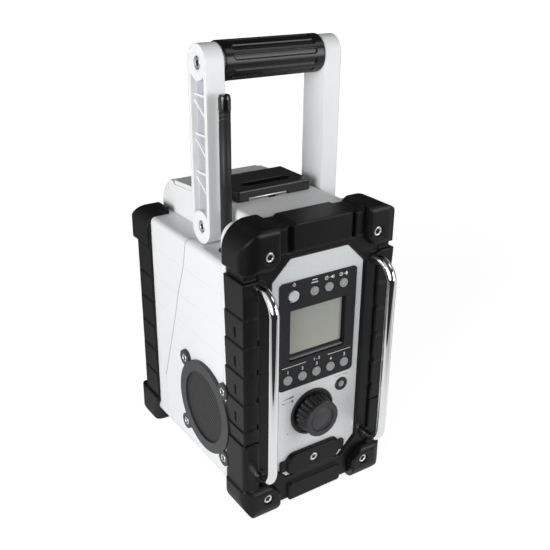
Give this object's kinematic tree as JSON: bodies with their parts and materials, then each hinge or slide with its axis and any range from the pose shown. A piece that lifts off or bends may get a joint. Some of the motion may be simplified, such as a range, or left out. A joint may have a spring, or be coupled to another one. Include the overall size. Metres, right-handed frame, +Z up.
{
  "type": "jobsite radio",
  "caption": "Tall rugged battery radio with a carrying handle, rubber corner bumpers, guard bars over a control panel with display, buttons and knob, side loudspeakers and a rod antenna.",
  "frame": {"origin": "centre of the bounding box at the feet, with the handle upright", "axes": "+Z up along the handle, -Y towards the control panel, +X to the right seen from the front"},
  "size_m": [0.163, 0.2394, 0.4238],
  "materials": {
    "white_plastic": "fine-grained white moulded plastic",
    "black_rubber": "soft-touch black rubber",
    "dark_plastic": "dark grey moulded plastic",
    "ring_plastic": "satin charcoal moulded plastic",
    "silver_plastic": "silver-grey speckled lacquered plastic",
    "plate_plastic": "charcoal plate with fine grain",
    "button_rubber": "grey silicone rubber",
    "power_plastic": "bright silver plastic",
    "display_glass": "grey-green display window",
    "chrome_steel": "polished chrome-plated steel tube",
    "screw_steel": "zinc-plated socket screws",
    "grille_steel": "dark painted perforated steel",
    "circuit_board": "green circuit board"
  },
  "bodies": {
    "cabinet": {"front_shell": "white_plastic", "rear_shell": "white_plastic", "front_frame": "black_rubber", "top_block_left": "black_rubber", "top_block_right": "black_rubber", "front_foot_left": "black_rubber", "front_foot_right": "black_rubber", "side_bumper_left": "black_rubber", "side_bumper_right": "black_rubber", "rear_block_left": "black_rubber", "rear_block_right": "black_rubber", "rear_foot_left": "black_rubber", "rear_foot_right": "black_rubber", "rear_bumpers": "black_rubber", "control_panel": "silver_plastic", "display_plate": "plate_plastic", "display_sill": "silver_plastic", "display_lens": "display_glass", "display_module": "dark_plastic", "display_board": "circuit_board", "knob_skirt": "plate_plastic", "encoder": "screw_steel", "socket_cover": "black_rubber", "aux_sockets": "dark_plastic", "guard_bar_left": "chrome_steel", "guard_bar_right": "chrome_steel", "pivot_bolts": "screw_steel", "antenna_rod": "dark_plastic", "antenna_cap": "dark_plastic", "antenna_socket": "black_rubber", "lid_hinge_pin": "screw_steel", "battery_tray": "dark_plastic", "battery_terminal": "dark_plastic", "speaker_ring_left": "ring_plastic", "speaker_ring_right": "ring_plastic", "speaker_grille_left": "grille_steel", "speaker_grille_right": "grille_steel", "speaker_driver_left": "dark_plastic", "speaker_driver_right": "dark_plastic", "cabinet_screws": "screw_steel", "speaker_screws": "screw_steel", "main_board": "circuit_board"},
    "handle": {"handle_arm_left": "white_plastic", "handle_arm_right": "white_plastic", "grip_core": "dark_plastic", "grip_sleeve": "black_rubber", "handle_screws": "screw_steel"},
    "battery_lid": {"battery_lid": "white_plastic"},
    "latch": {"battery_latch": "dark_plastic"},
    "knob": {"tuning_knob": "dark_plastic"},
    "power_button": {"power_button": "power_plastic"},
    "function_button_1": {"function_button_1": "button_rubber"},
    "function_button_2": {"function_button_2": "button_rubber"},
    "function_button_3": {"function_button_3": "button_rubber"},
    "preset_button_1": {"preset_button_1": "button_rubber"},
    "preset_button_2": {"preset_button_2": "button_rubber"},
    "preset_button_3": {"preset_button_3": "button_rubber"},
    "preset_button_4": {"preset_button_4": "button_rubber"},
    "preset_button_5": {"preset_button_5": "button_rubber"},
    "menu_button": {"menu_button": "button_rubber"}
  },
  "joints": [
    {"name": "handle_fold", "type": "hinge", "parent": "cabinet", "child": "handle", "pos_m": [0, -0.0065, 0.2655], "axis": [-1, 0, 0], "range_deg": [0, 84]},
    {"name": "lid_hinge", "type": "hinge", "parent": "cabinet", "child": "battery_lid", "pos_m": [0, 0.088, 0.274], "axis": [-1, 0, 0], "range_deg": [0, 80]},
    {"name": "latch_slide", "type": "slide", "parent": "battery_lid", "child": "latch", "axis": [0, -1, 0], "range_m": [0, 0.008]},
    {"name": "knob_turn", "type": "hinge", "parent": "cabinet", "child": "knob", "pos_m": [-0.003, -0.1, 0.0965], "axis": [0, 1, 0], "continuous": true},
    {"name": "power_press", "type": "slide", "parent": "cabinet", "child": "power_button", "axis": [0, 1, 0], "range_m": [0, 0.0012], "stiffness_N_per_m": 400},
    {"name": "function_1_press", "type": "slide", "parent": "cabinet", "child": "function_button_1", "axis": [0, 1, 0], "range_m": [0, 0.0012], "stiffness_N_per_m": 400},
    {"name": "function_2_press", "type": "slide", "parent": "cabinet", "child": "function_button_2", "axis": [0, 1, 0], "range_m": [0, 0.0012], "stiffness_N_per_m": 400},
    {"name": "function_3_press", "type": "slide", "parent": "cabinet", "child": "function_button_3", "axis": [0, 1, 0], "range_m": [0, 0.0012], "stiffness_N_per_m": 400},
    {"name": "preset_1_press", "type": "slide", "parent": "cabinet", "child": "preset_button_1", "axis": [0, 1, 0], "range_m": [0, 0.0012], "stiffness_N_per_m": 400},
    {"name": "preset_2_press", "type": "slide", "parent": "cabinet", "child": "preset_button_2", "axis": [0, 1, 0], "range_m": [0, 0.0012], "stiffness_N_per_m": 400},
    {"name": "preset_3_press", "type": "slide", "parent": "cabinet", "child": "preset_button_3", "axis": [0, 1, 0], "range_m": [0, 0.0012], "stiffness_N_per_m": 400},
    {"name": "preset_4_press", "type": "slide", "parent": "cabinet", "child": "preset_button_4", "axis": [0, 1, 0], "range_m": [0, 0.0012], "stiffness_N_per_m": 400},
    {"name": "preset_5_press", "type": "slide", "parent": "cabinet", "child": "preset_button_5", "axis": [0, 1, 0], "range_m": [0, 0.0012], "stiffness_N_per_m": 400},
    {"name": "menu_press", "type": "slide", "parent": "cabinet", "child": "menu_button", "axis": [0, 1, 0], "range_m": [0, 0.0012], "stiffness_N_per_m": 400}
  ]
}
